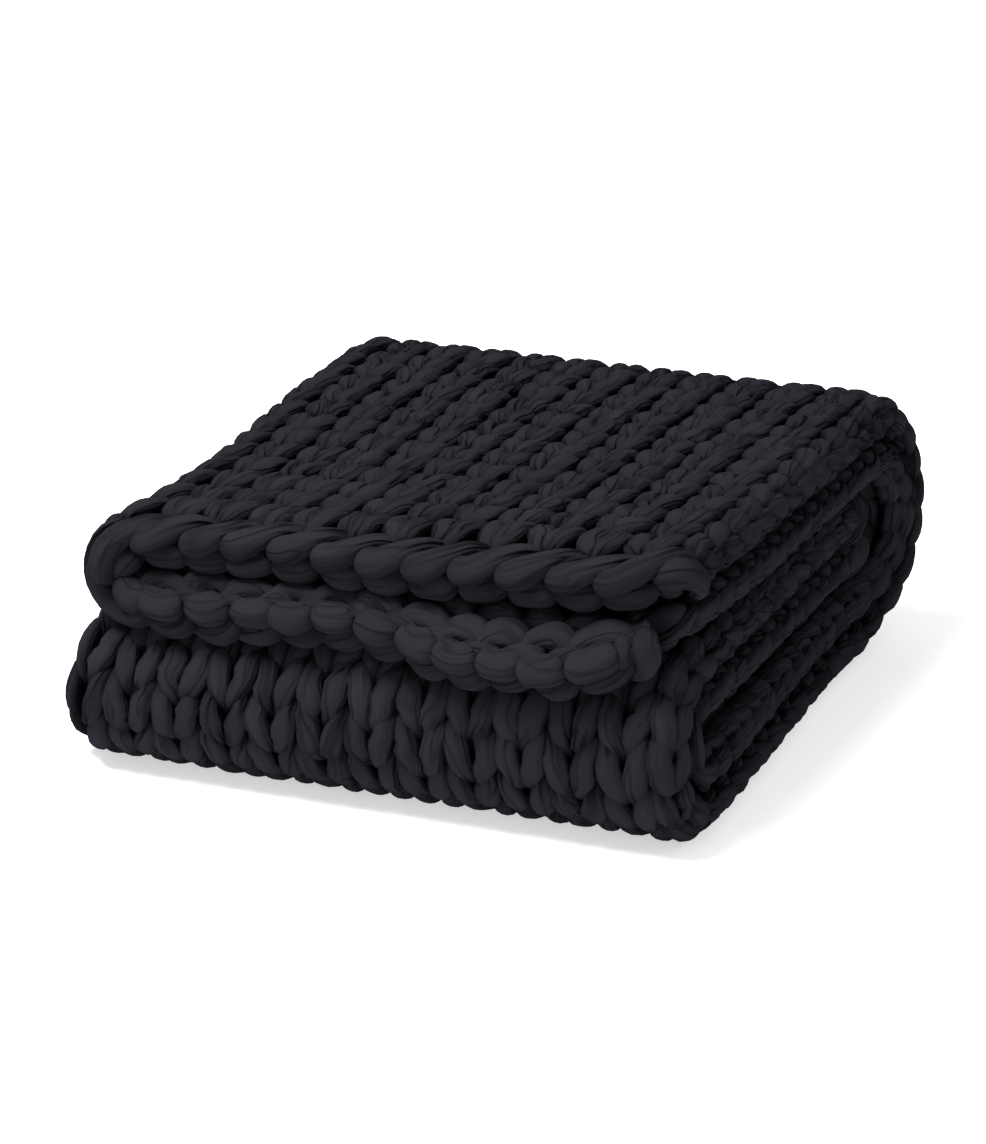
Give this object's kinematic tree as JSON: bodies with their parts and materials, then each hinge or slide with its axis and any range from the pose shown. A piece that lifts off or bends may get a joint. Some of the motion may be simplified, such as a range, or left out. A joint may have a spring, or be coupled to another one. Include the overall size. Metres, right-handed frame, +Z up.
{
  "type": "folded weighted blanket",
  "caption": "Chunky hand-knit weighted blanket of thick stuffed jersey yarn, folded into a neat stack; it lies on a bed, sofa or shelf and gives warmth and gentle pressure.",
  "frame": {"origin": "bottom centre of the folded stack, on the surface it lies on", "axes": "+Z up; -Y towards the stack's front, where the top flap ends; the lengthwise fold is on -X and the selvedges are on +X"},
  "size_m": [0.5938, 0.655, 0.2578],
  "materials": {
    "jersey_yarn": "matt charcoal cotton jersey tube, softly stuffed"
  },
  "bodies": {
    "root": {"blanket": "jersey_yarn"}
  },
  "joints": []
}
